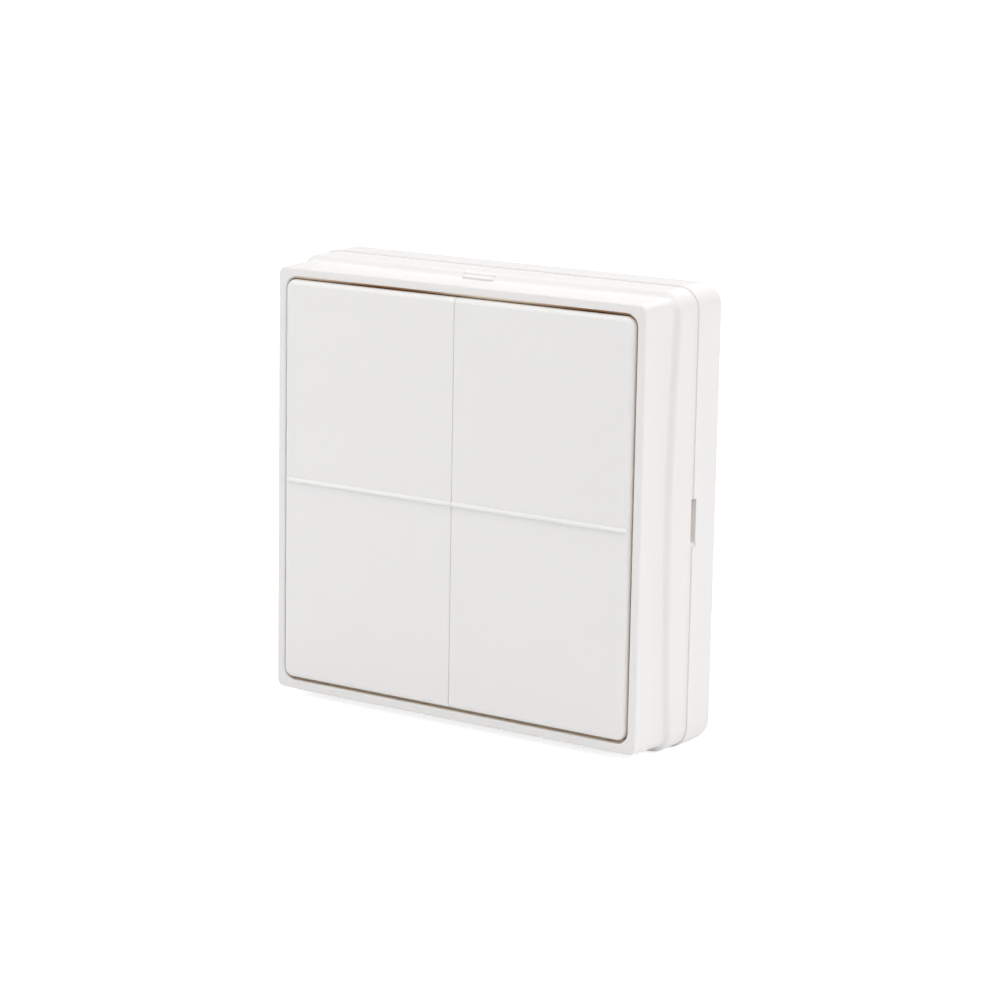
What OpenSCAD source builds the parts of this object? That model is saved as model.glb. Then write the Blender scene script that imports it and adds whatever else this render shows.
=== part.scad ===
// Surface-mounted wireless wall switch with two full-height rockers.
// Pieces are drawn lying on their backs: x runs to the right, y up the wall and z out of the wall.
// stand() turns a finished piece upright: the wall face lies on Y = 0 and the rockers face -Y.

/* [Case] */
// Width and height of the square housing
plate_w = 86; // [82:0.5:92]
// Outer corner radius of the housing
plate_r = 4; // [3.2:0.1:5]
// Step by which the base stands out beyond the housing, on each side
base_step = 0.3; // [0.1:0.05:0.5]
// Depth of the base, from the wall to the parting line
base_d = 8.9; // [8:0.1:11]
// Depth of the housing, from the parting line to the bezel joint
housing_d = 6.8; // [6.6:0.1:10]
// Wall thickness of the base and the housing
wall_t = 2; // [1.6:0.1:2.4]
// Floor thickness of the base
floor_t = 1.8; // [1.4:0.1:2.4]
// Chamfer on each side of the parting line
seam = 0.2; // [0.1:0.05:0.4]
// Rounding of the back edge of the base
back_edge = 1.5; // [0.6:0.1:1.8]

/* [Bezel] */
// Depth of the bezel, from its joint to its front rim
bezel_d = 8.5; // [7:0.1:10]
// Step from the outline of the housing in to the front rim, on each side
bezel_inset = 1.55; // [1.2:0.05:2]
// Widening of the bezel from its rim back to the cove, on each side
bezel_draft = 0.25; // [0.1:0.05:0.6]
// Width of the front rim
rim_w = 1.75; // [1.4:0.05:2.2]
// Corner radius of the front rim
rim_r = 1.6; // [1.2:0.1:2.4]
// Rounding of the outer rim edge
rim_fillet = 0.4; // [0.3:0.05:0.8]
// Radius of the cove between the bezel and its flare
cove_r = 0.7; // [0.5:0.1:1]
// Straight edge of the flare at the joint
flare_edge = 0.8; // [0.3:0.05:1.2]
// Radius of the dome on which the joint lies, so that it falls back towards the corners
dome_r = 480; // [400:10:900]
// Width of the prying notch in the top of the bezel
notch_w = 8.6; // [6:0.1:12]
// Reach of the notch into the bezel, along the depth
notch_front = 2.4; // [1:0.1:3]
// Reach of the notch into the housing, along the depth
notch_back = 0.9; // [0.6:0.1:2]

/* [Rockers] */
// Gap between a rocker and the bezel
rocker_gap = 0.6; // [0.5:0.05:1]
// Gap between the two rockers
centre_gap = 0.3; // [0.25:0.05:0.8]
// Stand of the rocker faces in front of the rim
rocker_proud = 0.4; // [0:0.1:1]
// Thickness of a rocker face
rocker_t = 1.4; // [1.2:0.1:1.8]
// Thickness of a rocker skirt
skirt_t = 1.3; // [1:0.1:1.6]
// Radius of the outer corners of a rocker
rocker_r = 1.9; // [1.2:0.1:3]
// Radius of the corners beside the centre gap
inner_r = 0.6; // [0.5:0.1:1]
// Rounding of the outer face edges
face_fillet = 0.9; // [0.5:0.1:1]
// Rounding of the face edges beside the centre gap
inner_fillet = 0.25; // [0.2:0.05:0.5]
// Width of the raised ridge across a rocker
ridge_w = 1.1; // [1:0.1:2]
// Height of the raised ridge
ridge_h = 0.45; // [0.3:0.05:0.7]
// Distance from the ends of the ridge to the sides of the rocker
ridge_end = 0.3; // [0.2:0.05:2]
// Swing of a rocker each way, in degrees
swing = 1.5; // [1:0.1:1.8]

/* [Pivots] */
// Diameter of the pivot stubs
pin_d = 2.4; // [2:0.1:3]
// Radial running clearance of a stub in its bearing
pin_clear = 0.08; // [0.05:0.01:0.1]
// Distance from the middle of a rocker to the middle of a lug
lug_x = 11; // [8:0.5:12]
// Thickness of a lug
lug_t = 1.6; // [1.2:0.1:2]
// Thickness of a bearing post
post_t = 2.2; // [1.8:0.1:2.6]
// Side play between a lug and its post
side_play = 0.4; // [0.3:0.05:0.6]
// Height of the pivot line above the carrier plate
pivot_rise = 2; // [1.9:0.1:2.4]

/* [Switches] */
// Distance from the end of a rocker to the middle of its press zone
press_in = 15; // [12:0.5:18]
// Width of a switch body
switch_w = 6; // [5:0.1:7]
// Height of a switch body above the board
switch_h = 3; // [2.8:0.1:3.4]
// Diameter of a switch stem
stem_d = 3.4; // [3:0.1:3.8]
// Radial clearance of a stem in its switch body
stem_clear = 0.12; // [0.1:0.02:0.2]
// Stand of a stem in front of its switch body
stem_rise = 0.8; // [0.75:0.05:1.2]
// Free play between a stem and its rocker
stem_play = 0.1; // [0.08:0.01:0.15]

/* [Inside] */
// Diameter of a cell
cell_d = 10.5; // [10:0.1:10.5]
// Length of a cell with its nub
cell_l = 44.5; // [43:0.1:44.5]
// Distance between the two cells
cell_pitch = 12.4; // [11.6:0.1:14]
// Clearance around a cell
cell_play = 0.3; // [0.3:0.05:0.5]
// Thickness of the deck between the cells and the board
deck_t = 1.1; // [1:0.1:1.3]
// Thickness of the circuit board
board_t = 1.6; // [1:0.1:1.6]
// Thickness of the rocker carrier
carrier_t = 1.2; // [1:0.1:1.4]
// Distance between the wall screws
screw_pitch = 60; // [60:0.1:60.3]
// Width of a wall screw slot
slot_w = 4.2; // [4:0.1:4.6]
// Length of a wall screw slot
slot_l = 8; // [7:0.5:9]

/* [Hidden] */
// Segment counts for a true arc and the dome, steps of a rounding, and the overlap that fuses solids
arc_fn = 48;
steps = 5;
fuse = 0.3;
past = 0.5;
joint_gap = 0.05;
dome_fn = 240;

// Depth stack, counted from the wall
joint_z = base_d + housing_d;
rim_z = joint_z + bezel_d;
face_z = rim_z + rocker_proud;
inner_z = face_z - rocker_t;
cell_z = floor_t + cell_play + cell_d / 2;
deck_z = cell_z + cell_d / 2 + cell_play;
board_z = deck_z + deck_t;
board_top = board_z + board_t;
carrier_top = board_top + switch_h;
carrier_z = carrier_top - carrier_t;
stem_top = carrier_top + stem_rise;
pivot_z = carrier_top + pivot_rise;

// Widths
inside_w = plate_w - 2 * wall_t;
inside_r = max(plate_r - wall_t, 0.8);
base_w = plate_w + 2 * base_step;
bezel_w = plate_w - 2 * bezel_inset;
opening_w = bezel_w - 2 * rim_w;
opening_r = rocker_r + rocker_gap;
rocker_h = opening_w - 2 * rocker_gap;
rocker_w = (rocker_h - centre_gap) / 2;
rocker_x = (rocker_w + centre_gap) / 2;
press_y = rocker_h / 2 - press_in;
tip_drop = rocker_h / 2 * sin(swing);
skirt_z = carrier_top + tip_drop + 0.4;
post_x = lug_x + lug_t / 2 + side_play + post_t / 2;
carrier_w = opening_w - 0.8;

// Tongues that locate the shells in one another, with their snap hooks
tongue_play = 0.15;
tongue_t = 1.15;
tongue_w = inside_w - 2 * tongue_play;
base_tongue = 2.5;
bezel_tongue = min(2.2, joint_z - board_z - 0.2);
hook_x = 18;
hook_w = 8;
hook_h = 0.6;
hook_play = 0.2;

// Prying slot on the right, at the parting line
pry_l = 9.3;
pry_ramp = 1.3;
pry_base = 1.05;
pry_housing = 0.4;
pry_deep = 1.2;
notch_deep = bezel_inset + 0.45;
notch_lip = 0.8;

// Cell bay on the back of the deck
bay_t = 1.2;
nub_room = 1;
leaf_room = 4.2;
bay_l = cell_l + nub_room + leaf_room;
bay_h = cell_pitch + cell_d + 2 * cell_play;
bay_back = floor_t + 1.4;
cell_shift = (leaf_room - nub_room) / 2;

// Board and its screws
board_w = inside_w - 8;
screw_at = board_w / 2 - 4;
screw_d = 2.2;
head_d = 4.4;
head_h = 1.6;
screw_l = 8;
boss_d = 5.6;
foot_d = 6;
shield_size = [16, 13, 1.6];
shield_in = 15;
shield_y = board_w / 2 - shield_in;
chip_size = [7, 7, 0.9];
chip_y = -4;

// Battery contacts
contact_t = 0.4;
contact_w = 8.4;
tail_w = 3;
tail_play = 0.3;
leaf_w = 5;

shell_white = [0.93, 0.925, 0.915];
inner_white = [0.8, 0.78, 0.75];
board_green = [0.07, 0.3, 0.17];
part_black = [0.08, 0.08, 0.09];
stem_brown = [0.32, 0.2, 0.13];
cell_blue = [0.12, 0.2, 0.36];
nickel = [0.72, 0.71, 0.68];
steel = [0.6, 0.6, 0.62];

// Turns a piece drawn on its back upright
module stand() {
  rotate([90, 0, 0])
    children();
}

function along(a) = [cos(a), sin(a)];

// Points of an arc about c
function arc(c, r, from, to) = [for (k = [0:steps]) c + r * along(from + (to - from) * k / steps)];

// Centre of corner i of a w by h rectangle, counted anticlockwise from the upper right
function corner(w, h, r, i) =
  [(i == 0 || i == 3 ? 1 : -1) * (w / 2 - r[i]), (i < 2 ? 1 : -1) * (h / 2 - r[i])];

// Four equal corner radii
function even(r) = [r, r, r, r];

// Rectangle with its own radius at each corner
module rounded(w, h, r) {
  polygon([for (i = [0:3], k = [0, 1]) corner(w, h, r, i) + r[i] * along(90 * (i + k))]);
  for (i = [0:3])
    translate(corner(w, h, r, i))
      circle(r[i], $fn = arc_fn);
}

// Upright block on a rounded rectangle, from one depth to another
module slab(w, h, r, from, to) {
  translate([0, 0, from])
    linear_extrude(to - from)
      rounded(w, h, r);
}

// Carries a profile round a rounded rectangle: its x is the distance out from the outline, its y the depth
module sweep(w, h, r) {
  for (i = [0:3]) {
    j = (i + 1) % 4;
    out = along(90 * j);
    start = corner(w, h, r, i) + r[i] * out;
    end = corner(w, h, r, j) + r[j] * out;
    translate(corner(w, h, r, i))
      rotate(90 * i)
        rotate_extrude(angle = 90, $fn = arc_fn)
          translate([r[i], 0])
            children();
    translate(end)
      rotate(90 * j)
        rotate([90, 0, 0])
          linear_extrude(norm(end - start))
            children();
  }
}

// Square block between two depths whose outside is trimmed by the profile that is passed in
module trimmed(w, r, from, to) {
  difference() {
    slab(w + 2 * past, w + 2 * past, even(r + past), from, to);
    sweep(w, w, even(r))
      children();
  }
}

// Dome that passes the middle of each side of the housing at a depth and falls back towards the corners
module dome(z) {
  half = plate_w / 2;
  rings = [for (i = [0:steps]) half * (0.85 + 0.6 * i / steps)];
  surface = [for (r = rings) [r, z - (pow(r, 2) - pow(half, 2)) / (2 * dome_r)]];
  rotate_extrude($fn = dome_fn)
    polygon(concat([[0, -past], [0, surface[0][1]]], surface, [[rings[steps], -past]]));
}

// Box given by its middle in x and y, its size, and its lower depth
module box(at, size, z) {
  translate([at[0] - size[0] / 2, at[1] - size[1] / 2, z])
    cube(size);
}

// Snap hook under a tongue end, on the upper side; grow widens it into the pocket that takes it
module hook(at, from, to, grow) {
  face = tongue_w / 2;
  translate([at + hook_w / 2 + grow, 0, 0])
    rotate([90, 0, -90])
      linear_extrude(hook_w + 2 * grow)
        polygon([[-face + fuse, from - grow], [-face + fuse, to + grow],
                 [-face - hook_h - grow, to + grow], [-face - hook_h - grow, from + hook_h / 2 - grow],
                 [-face, from - grow]]);
}

// Hooks on the upper and lower sides
module hooks(from, to, grow) {
  for (half = [0, 180], side = [-1, 1])
    rotate(half)
      hook(side * hook_x, from, to, grow);
}

// Ring-shaped tongue that reaches back from a joint
module tongue(from, to) {
  difference() {
    slab(tongue_w, tongue_w, even(inside_r), from, to + fuse);
    slab(tongue_w - 2 * tongue_t, tongue_w - 2 * tongue_t, even(inside_r), from - past, to + 2 * fuse);
  }
}

// Prying slot on the right-hand side, with a ramp at its lower end
module pry_slot() {
  from = plate_w / 2 - pry_deep;
  to = base_w / 2 + past;
  drop = pry_ramp * (to - from) / (base_w / 2 - from);
  translate([0, 0, base_d - pry_base])
    linear_extrude(pry_base + pry_housing)
      polygon([[from, pry_ramp - pry_l / 2], [to, pry_ramp - pry_l / 2 - drop],
               [to, pry_l / 2], [from, pry_l / 2]]);
}

// Back box that is screwed to the wall
module base() {
  color(shell_white)
    stand()
      difference() {
        trimmed(base_w, plate_r + base_step, 0, base_d)
          polygon(concat([[-back_edge, -past], [2 * past, -past], [2 * past, base_d + past],
                          [-seam, base_d + past], [-seam, base_d], [0, base_d - seam]],
                         arc([-back_edge, back_edge], back_edge, 0, -90)));
        difference() {
          slab(inside_w, inside_w, even(inside_r), floor_t, base_d + past);
          for (side = [-1, 1])
            box([0, side * inside_w * 0.27], [inside_w * 0.8, bay_t, 2 * bay_t], floor_t - bay_t);
        }
        for (side = [-1, 1])
          translate([side * screw_pitch / 2, 0, -past])
            linear_extrude(floor_t + 2 * past)
              rounded(slot_l, slot_w, even(slot_w / 2 - 0.01));
        hooks(base_d - base_tongue, base_d - base_tongue / 2, hook_play);
        pry_slot();
      }
}

// Middle shell with the cell bay behind its deck and the board in front of it
module housing() {
  color(shell_white)
    stand()
      difference() {
        union() {
          difference() {
            intersection() {
              trimmed(plate_w, plate_r, base_d, joint_z + past)
                polygon([[-seam, base_d - past], [2 * past, base_d - past], [2 * past, joint_z + 2 * past],
                         [0, joint_z + 2 * past], [0, base_d + seam], [-seam, base_d]]);
              dome(joint_z - joint_gap);
            }
            slab(inside_w, inside_w, even(inside_r), board_z, joint_z + 2 * past);
            slab(tongue_w - 2 * tongue_t, tongue_w - 2 * tongue_t, even(inside_r), base_d - past, deck_z);
            hooks(joint_z - bezel_tongue, joint_z - bezel_tongue / 2, hook_play);
          }
          tongue(base_d - base_tongue, base_d);
          hooks(base_d - base_tongue, base_d - base_tongue / 2, 0);
          difference() {
            box([0, 0], [bay_l + 2 * bay_t, bay_h + 2 * bay_t, deck_z - bay_back + fuse], bay_back);
            box([0, 0], [bay_l, bay_h, deck_z - bay_back + past], bay_back - past);
          }
          for (x = [-1, 1], y = [-1, 1])
            translate([x * screw_at, y * screw_at, board_z - screw_l + board_t])
              cylinder(h = screw_l - board_t - deck_t / 2, d = boss_d, $fn = arc_fn);
        }
        for (x = [-1, 1], y = [-1, 1])
          translate([x * screw_at, y * screw_at, 0])
            cylinder(h = joint_z, d = screw_d + 0.2, $fn = arc_fn);
        tail_slots(deck_z - past, board_z + past);
        translate([-notch_w / 2, plate_w / 2 - notch_lip, joint_z - notch_back])
          cube([notch_w, notch_lip + 2 * past, notch_back + 2 * past]);
        pry_slot();
      }
}

// Front frame: a drafted body and a cove that flares out to the housing, cut by the prying notch
module bezel() {
  flare_z = joint_z + flare_edge;
  back_z = joint_z - pow(plate_w / 2, 2) / dome_r;
  side = -bezel_inset + bezel_draft;
  cove_c = [side + cove_r, flare_z + cove_r];
  fillet_c = [-rim_fillet, rim_z - rim_fillet];
  color(shell_white)
    stand()
      difference() {
        union() {
          difference() {
            union() {
              trimmed(bezel_w, rim_r, back_z, rim_z)
                polygon(concat([[2 * past, rim_z + past], [fillet_c[0], rim_z + past]],
                               arc(fillet_c, rim_fillet, 90, 0),
                               [[bezel_draft, cove_c[1]], [bezel_draft, back_z - past],
                                [2 * past, back_z - past]]));
              intersection() {
                trimmed(plate_w, plate_r, back_z, cove_c[1])
                  polygon(concat([[2 * past, cove_c[1] + past], [side, cove_c[1] + past]],
                                 arc(cove_c, cove_r, 180, 270),
                                 [[0, flare_z], [0, back_z - past], [2 * past, back_z - past]]));
                dome(flare_z);
              }
            }
            dome(joint_z);
          }
          tongue(joint_z - bezel_tongue, joint_z + fuse);
          hooks(joint_z - bezel_tongue, joint_z - bezel_tongue / 2, 0);
        }
        slab(opening_w, opening_w, even(opening_r), back_z - 2 * past, rim_z + past);
        translate([-notch_w / 2, plate_w / 2 - notch_deep, joint_z - past])
          cube([notch_w, notch_deep + 2 * past, notch_front + past]);
      }
}

// Plate with the bearing posts, held over the board by four feet
module carrier() {
  color(inner_white)
    stand()
      difference() {
        union() {
          slab(carrier_w, carrier_w, even(opening_r), carrier_z, carrier_top);
          for (x = [-1, 1], y = [-1, 1])
            translate([x * screw_at, y * screw_at, board_top])
              cylinder(h = carrier_z - board_top + fuse, d = foot_d, $fn = arc_fn);
          for (half = [-1, 1], side = [-1, 1])
            box([half * rocker_x + side * post_x, 0], [post_t, pin_d + 4, inner_z - 1 - carrier_top + fuse],
                carrier_top - fuse);
        }
        for (half = [-1, 1], side = [-1, 1])
          translate([half * rocker_x + side * post_x, 0, pivot_z]) {
            rotate([0, 90, 0])
              cylinder(h = post_t + 2 * past, d = pin_d + 2 * pin_clear, center = true, $fn = arc_fn);
            translate([-post_t / 2 - past, -pin_d * 0.42, 0])
              cube([post_t + 2 * past, pin_d * 0.84, inner_z]);
          }
        for (half = [-1, 1], side = [-1, 1])
          box([half * rocker_x, side * press_y], [switch_w + 1, switch_w + 1, carrier_t + 2 * past],
              carrier_z - past);
        for (x = [-1, 1], y = [-1, 1])
          translate([x * screw_at, y * screw_at, board_top - past])
            cylinder(h = carrier_top - board_top + 2 * past, d = screw_d + 0.4, $fn = arc_fn);
      }
}

// Four pan-head screws through the carrier and the board into the deck
module carrier_screws() {
  color(steel)
    stand()
      for (x = [-1, 1], y = [-1, 1])
        translate([x * screw_at, y * screw_at, carrier_top])
          difference() {
            union() {
              cylinder(h = head_h, d = head_d, $fn = arc_fn);
              translate([0, 0, -screw_l])
                cylinder(h = screw_l + fuse, d = screw_d, $fn = arc_fn);
            }
            for (a = [0, 90])
              rotate(a)
                box([0, 0], [head_d * 0.6, 0.6, head_h], head_h * 0.5);
          }
}

// Profile that rounds an edge of a rocker face, down to a depth
module edge_cut(r, from) {
  polygon(concat([[2 * past, from], [0, from]], arc([-r, face_z - r], r, 0, 90),
                 [[-r, face_z + past], [2 * past, face_z + past]]));
}

// Hollow rocker: side is -1 for the left one and 1 for the right one
module rocker(side) {
  r = side > 0 ? [rocker_r, inner_r, inner_r, rocker_r] : [inner_r, rocker_r, rocker_r, inner_r];
  block_r = [for (v = r) v + past];
  fillet = min(face_fillet, rocker_t * 0.75);
  ridge_r = (pow(ridge_w / 2, 2) + pow(ridge_h, 2)) / (2 * ridge_h);
  ridge_l = rocker_w - 2 * ridge_end - ridge_w;
  color(shell_white)
    stand()
      translate([side * rocker_x, 0, 0]) {
        difference() {
          slab(rocker_w + 2 * past, rocker_h + 2 * past, block_r, skirt_z, face_z);
          sweep(rocker_w, rocker_h, r)
            edge_cut(inner_fillet, skirt_z - past);
          translate([-side * rocker_x, 0, 0])
            sweep(rocker_h, rocker_h, even(rocker_r))
              edge_cut(fillet, face_z - fillet);
          translate([-rocker_w / 2 + skirt_t, -rocker_h / 2 + skirt_t, skirt_z - past])
            cube([rocker_w - 2 * skirt_t, rocker_h - 2 * skirt_t, inner_z - skirt_z + past]);
        }
        translate([0, 0, face_z + ridge_h - ridge_r]) {
          rotate([0, 90, 0])
            cylinder(h = ridge_l, r = ridge_r, center = true, $fn = arc_fn);
          for (end = [-1, 1])
            translate([end * ridge_l / 2, 0, 0])
              sphere(ridge_r, $fn = arc_fn);
        }
        for (hand = [-1, 1])
          rocker_lug(hand);
        for (end = [-1, 1])
          box([0, end * press_y], [4, 2, inner_z - stem_top - stem_play + fuse], stem_top + stem_play);
      }
}

// Lug on the back of a rocker with its pivot stub
module rocker_lug(hand) {
  lug_r = pin_d / 2 + 0.3;
  translate([hand * lug_x - lug_t / 2, 0, pivot_z])
    rotate([0, 90, 0])
      cylinder(h = lug_t, r = lug_r, $fn = arc_fn);
  box([hand * lug_x, 0], [lug_t, 2 * lug_r, inner_z - pivot_z + fuse], pivot_z);
  translate([hand > 0 ? lug_x : -lug_x - lug_t / 2 - side_play - post_t - 0.2, 0, pivot_z])
    rotate([0, 90, 0])
      cylinder(h = lug_t / 2 + side_play + post_t + 0.2, d = pin_d, $fn = arc_fn);
}

module left_rocker() {
  rocker(-1);
}

module right_rocker() {
  rocker(1);
}

// Slots that let the contact tails through the deck and the board
module tail_slots(from, to) {
  for (hand = [-1, 1], row = [-1, 1])
    box([hand * (bay_l - contact_t) / 2, row * cell_pitch / 2],
        [contact_t + 2 * tail_play, tail_w + 2 * tail_play, to - from], from);
}

module circuit_board() {
  color(board_green)
    stand()
      difference() {
        slab(board_w, board_w, even(2), board_z, board_top);
        for (x = [-1, 1], y = [-1, 1])
          translate([x * screw_at, y * screw_at, board_z - past])
            cylinder(h = board_t + 2 * past, d = screw_d + 0.6, $fn = arc_fn);
        tail_slots(board_z - past, board_top + past);
      }
}

module radio_shield() {
  color(nickel)
    stand()
      box([0, shield_y], shield_size, board_top);
}

module controller_chip() {
  color(part_black)
    stand()
      box([0, chip_y], chip_size, board_top);
}

// Push switch on the board; half is -1 on the left, end is -1 below
module switch_body(half, end) {
  color(part_black)
    stand()
      difference() {
        box([half * rocker_x, end * press_y], [switch_w, switch_w, switch_h], board_top);
        translate([half * rocker_x, end * press_y, board_top + 0.6])
          cylinder(h = switch_h, d = stem_d + 2 * stem_clear, $fn = arc_fn);
      }
}

// Stem of a push switch, half way down its travel at rest
module switch_stem(half, end) {
  color(stem_brown)
    stand()
      translate([half * rocker_x, end * press_y, stem_top])
        mirror([0, 0, 1])
          cylinder(h = stem_rise + switch_h - 1.4, d = stem_d, $fn = arc_fn);
}

module switch_upper_left() {
  switch_body(-1, 1);
}

module switch_upper_right() {
  switch_body(1, 1);
}

module switch_lower_left() {
  switch_body(-1, -1);
}

module switch_lower_right() {
  switch_body(1, -1);
}

module stem_upper_left() {
  switch_stem(-1, 1);
}

module stem_upper_right() {
  switch_stem(1, 1);
}

module stem_lower_left() {
  switch_stem(-1, -1);
}

module stem_lower_right() {
  switch_stem(1, -1);
}

// Small round cell; row is 1 for the upper one, whose nub points right, and -1 for the lower one
module cell(row) {
  nub_l = 1;
  color(cell_blue)
    stand()
      translate([row * (bay_l / 2 - nub_room), row * cell_pitch / 2, cell_z])
        rotate([0, -90 * row, 0]) {
          translate([0, 0, nub_l])
            cylinder(h = cell_l - nub_l, d = cell_d, $fn = arc_fn);
          cylinder(h = 2 * nub_l, d = 3.8, $fn = arc_fn);
        }
}

module upper_cell() {
  cell(1);
}

module lower_cell() {
  cell(-1);
}

// Contact plate against an end wall of the bay, with its tail through the board
module contact_plate(hand, row) {
  box([hand * (bay_l - contact_t) / 2, row * cell_pitch / 2],
      [contact_t, contact_w, deck_z - cell_z + contact_w / 2 - cell_play],
      cell_z - contact_w / 2);
  box([hand * (bay_l - contact_t) / 2, row * cell_pitch / 2],
      [contact_t, tail_w, board_top + 0.6 - cell_z], cell_z);
}

// Pressed pad that meets the nub of a cell
module nub_pad(hand, row) {
  box([hand * (bay_l - nub_room - contact_t + fuse) / 2, row * cell_pitch / 2],
      [nub_room - contact_t + fuse, 5, 5], cell_z - 2.5);
}

// Bent leaf that pushes on the flat end of a cell
module leaf(hand, row) {
  reach = leaf_room;
  translate([hand * bay_l / 2, row * cell_pitch / 2 + (hand > 0 ? -1 : 1) * leaf_w / 2, cell_z])
    rotate([90, 0, hand > 0 ? 180 : 0])
      linear_extrude(leaf_w)
        polygon([[contact_t / 2, 3.6], [reach, 1], [reach, -1], [1.6, -3.6], [1.1, -3.4],
                 [reach - contact_t, -0.8], [reach - contact_t, 0.8], [contact_t / 2, 3]]);
}

// Strip on the left that joins the two cells in series
module link_contact() {
  color(nickel)
    stand() {
      contact_plate(-1, 1);
      contact_plate(-1, -1);
      box([-(bay_l - contact_t) / 2, 0], [contact_t, cell_pitch, 4], cell_z - 2);
      leaf(-1, 1);
      nub_pad(-1, -1);
    }
}

module positive_contact() {
  color(nickel)
    stand() {
      contact_plate(1, 1);
      nub_pad(1, 1);
    }
}

module negative_contact() {
  color(nickel)
    stand() {
      contact_plate(1, -1);
      leaf(1, -1);
    }
}

base();
housing();
bezel();
carrier();
carrier_screws();
left_rocker();
right_rocker();
circuit_board();
radio_shield();
controller_chip();
switch_upper_left();
switch_upper_right();
switch_lower_left();
switch_lower_right();
stem_upper_left();
stem_upper_right();
stem_lower_left();
stem_lower_right();
upper_cell();
lower_cell();
link_contact();
positive_contact();
negative_contact();
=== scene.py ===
import math
import bmesh
import bpy
from mathutils import Matrix, Vector


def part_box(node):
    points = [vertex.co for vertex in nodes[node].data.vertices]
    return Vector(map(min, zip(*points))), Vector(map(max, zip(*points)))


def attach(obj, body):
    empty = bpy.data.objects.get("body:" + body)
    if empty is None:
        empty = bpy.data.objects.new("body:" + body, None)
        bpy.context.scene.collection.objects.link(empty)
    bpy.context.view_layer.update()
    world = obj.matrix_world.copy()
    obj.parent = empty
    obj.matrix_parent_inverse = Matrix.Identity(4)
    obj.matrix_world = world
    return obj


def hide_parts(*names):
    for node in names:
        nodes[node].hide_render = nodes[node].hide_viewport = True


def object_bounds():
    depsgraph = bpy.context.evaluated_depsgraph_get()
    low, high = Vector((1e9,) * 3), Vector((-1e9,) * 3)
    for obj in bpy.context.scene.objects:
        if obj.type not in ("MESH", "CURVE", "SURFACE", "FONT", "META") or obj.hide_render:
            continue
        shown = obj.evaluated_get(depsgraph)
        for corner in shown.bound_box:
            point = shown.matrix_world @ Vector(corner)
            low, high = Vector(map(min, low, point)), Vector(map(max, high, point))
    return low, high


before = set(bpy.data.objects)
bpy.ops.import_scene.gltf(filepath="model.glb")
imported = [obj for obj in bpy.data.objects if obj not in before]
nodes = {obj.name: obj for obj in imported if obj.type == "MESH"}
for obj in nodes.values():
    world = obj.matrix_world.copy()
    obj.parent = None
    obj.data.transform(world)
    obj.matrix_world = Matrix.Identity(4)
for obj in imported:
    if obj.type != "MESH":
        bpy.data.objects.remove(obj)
cadBox = [list(v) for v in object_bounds()]
mm = 0.001

# Pieces are drawn on their backs in mm: x to the right, y up the wall, z out of the wall
standUp = Matrix.Scale(mm, 4) @ Matrix.Rotation(math.radians(90), 4, "X")
partingZ = -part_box("base")[0].y / mm
rimZ = -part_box("bezel")[0].y / mm
ridgeTopZ = -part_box("left_rocker")[0].y / mm
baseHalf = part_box("base")[1].x / mm
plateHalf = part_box("housing")[1].x / mm
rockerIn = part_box("right_rocker")[0].x / mm
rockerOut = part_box("right_rocker")[1].x / mm
caseSpec = {"bezelDepth": 8.5, "domeR": 480.0, "corner": 4.0, "cornerSteps": 12,
            "longSide": 20.0, "sideCuts": 19, "capCorners": 8}
jointZ = rimZ - caseSpec["bezelDepth"]
# Places closer than these count as the same, in mm
hair = 1e-4
slack = 1e-3
touch = 0.01
overcut = 1.0  # how far a cutter stands out of what it cuts
print("frame read: base", round(2 * baseHalf, 2), "parting", round(partingZ, 2), "rim", round(rimZ, 2))


# Shared modelling steps
def block(bm, low, high):
    made = bmesh.ops.create_cube(bm, size=1)["verts"]
    bmesh.ops.scale(bm, verts=made, vec=Vector(high) - Vector(low))
    bmesh.ops.translate(bm, verts=made, vec=(Vector(high) + Vector(low)) / 2)
    return made


def roundEdges(bm, edges, radius, segments):
    return bmesh.ops.bevel(bm, geom=edges, offset=radius, offset_type="OFFSET", segments=segments,
                           profile=0.5, affect="EDGES", clamp_overlap=False, material=-1)


def rise(edge):
    return abs(edge.verts[0].co.z - edge.verts[1].co.z)


def outward(vert):
    # Distance from the middle, along x or y
    return max(abs(vert.co.x), abs(vert.co.y))


def uprights(verts):
    edges = {e for v in verts for e in v.link_edges}
    return [e for e in edges if rise(e) > hair]


def level(bm, z):
    return [e for e in bm.edges if all(abs(v.co.z - z) < hair for v in e.verts)]


def widest(bm, z):
    flat = [f for f in bm.faces if all(abs(v.co.z - z) < hair for v in f.verts)]
    return max(flat, key=lambda f: f.calc_area())


def cutSides(bm, edges):
    # Long straight sides get cross cuts, so that they can follow the bowed joint
    sides = [e for e in edges if e.calc_length() > caseSpec["longSide"]]
    bmesh.ops.subdivide_edges(bm, edges=sides, cuts=caseSpec["sideCuts"])


def raiseFace(bm, face, toZ):
    # Extrudes one face straight out or in to a new depth
    made = bmesh.ops.extrude_discrete_faces(bm, faces=[face])["faces"][0]
    fromZ = made.verts[0].co.z
    bmesh.ops.translate(bm, verts=made.verts, vec=(0, 0, toZ - fromZ))
    return made


def pocket(bm, z, wall, floorZ):
    face = widest(bm, z)
    bmesh.ops.inset_region(bm, faces=[face], thickness=wall, use_even_offset=True)
    raiseFace(bm, face, floorZ)


def bowAt(co):
    # How far the joint lies behind its depth at the middle of a side
    return (co.x ** 2 + co.y ** 2 - plateHalf ** 2) / (2 * caseSpec["domeR"])


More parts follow.
